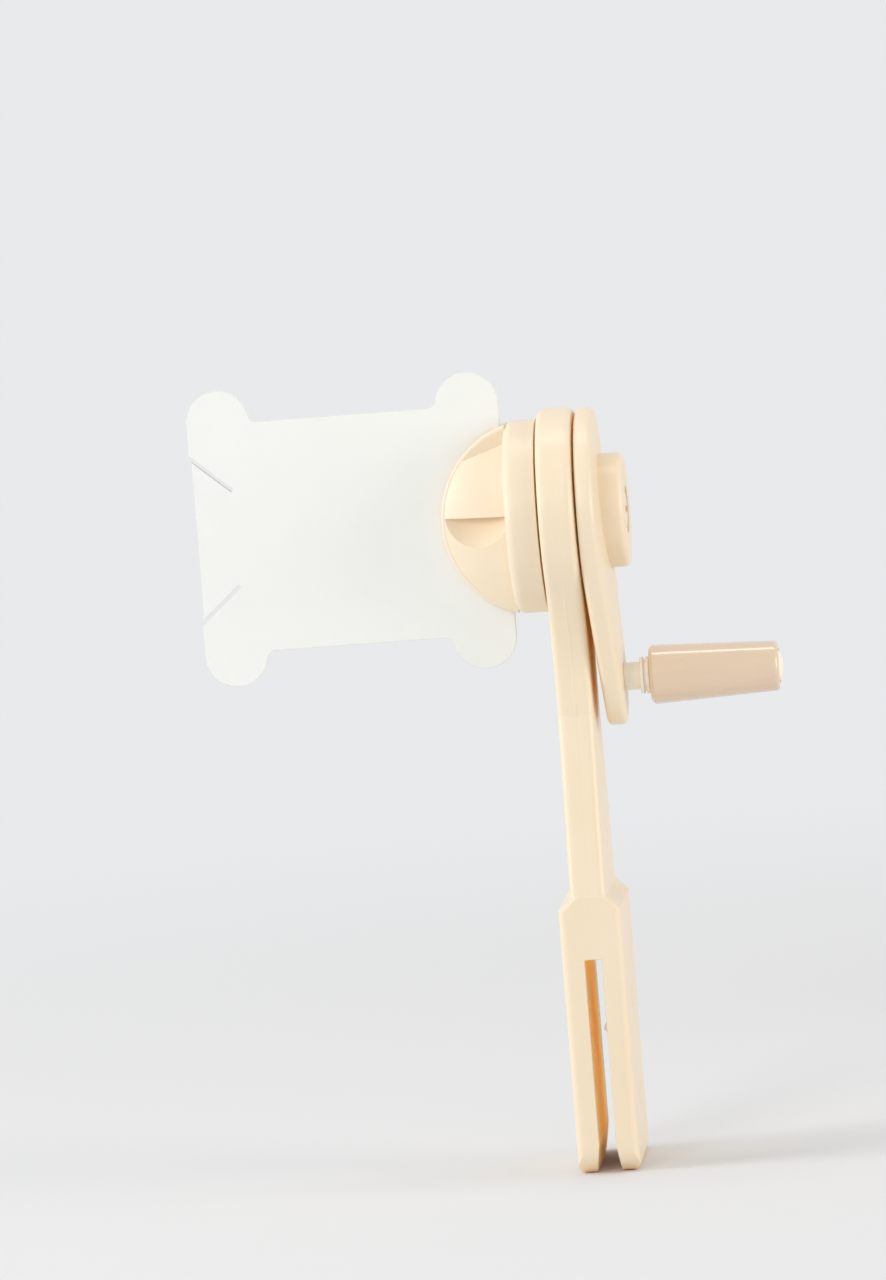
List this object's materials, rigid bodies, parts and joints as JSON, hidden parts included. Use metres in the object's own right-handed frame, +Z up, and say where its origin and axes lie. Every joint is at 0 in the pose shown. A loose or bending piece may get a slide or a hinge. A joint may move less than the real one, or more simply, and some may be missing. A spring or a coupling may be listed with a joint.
{
  "type": "floss bobbin winder",
  "caption": "Clip-on hand-cranked winder with a domed split chuck that grips a flat floss bobbin, a tapered turning knob and a forked clip for a box wall.",
  "frame": {"origin": "middle of the closed end of the clip slot, where the rim of a box wall seats", "axes": "+Z up the stand, +X along the axle from the chuck towards the knob, +Y away from the viewer of the front"},
  "size_m": [0.0707, 0.026, 0.0984],
  "materials": {
    "cream_moulding": "satin cream moulded plastic, slightly translucent",
    "knob_moulding": "satin cream moulded plastic",
    "bobbin_card": "matte white sheet plastic"
  },
  "bodies": {
    "stand": {"stand": "cream_moulding"},
    "crank": {"bobbin_chuck": "cream_moulding", "drive_axle": "cream_moulding", "crank_arm": "cream_moulding", "handle_pin": "cream_moulding"},
    "knob": {"handle_knob": "knob_moulding"},
    "bobbin": {"floss_bobbin": "bobbin_card"}
  },
  "joints": [
    {"name": "crank_turn", "type": "hinge", "parent": "stand", "child": "crank", "pos_m": [0, 0, 0.0538], "axis": [1, 0, 0], "continuous": true},
    {"name": "knob_spin", "type": "hinge", "parent": "crank", "child": "knob", "pos_m": [0.01705, 0, 0.0333], "axis": [1, 0, 0], "continuous": true},
    {"name": "bobbin_draw", "type": "slide", "parent": "crank", "child": "bobbin", "axis": [-1, 0, 0], "range_m": [0, 0.012]}
  ]
}
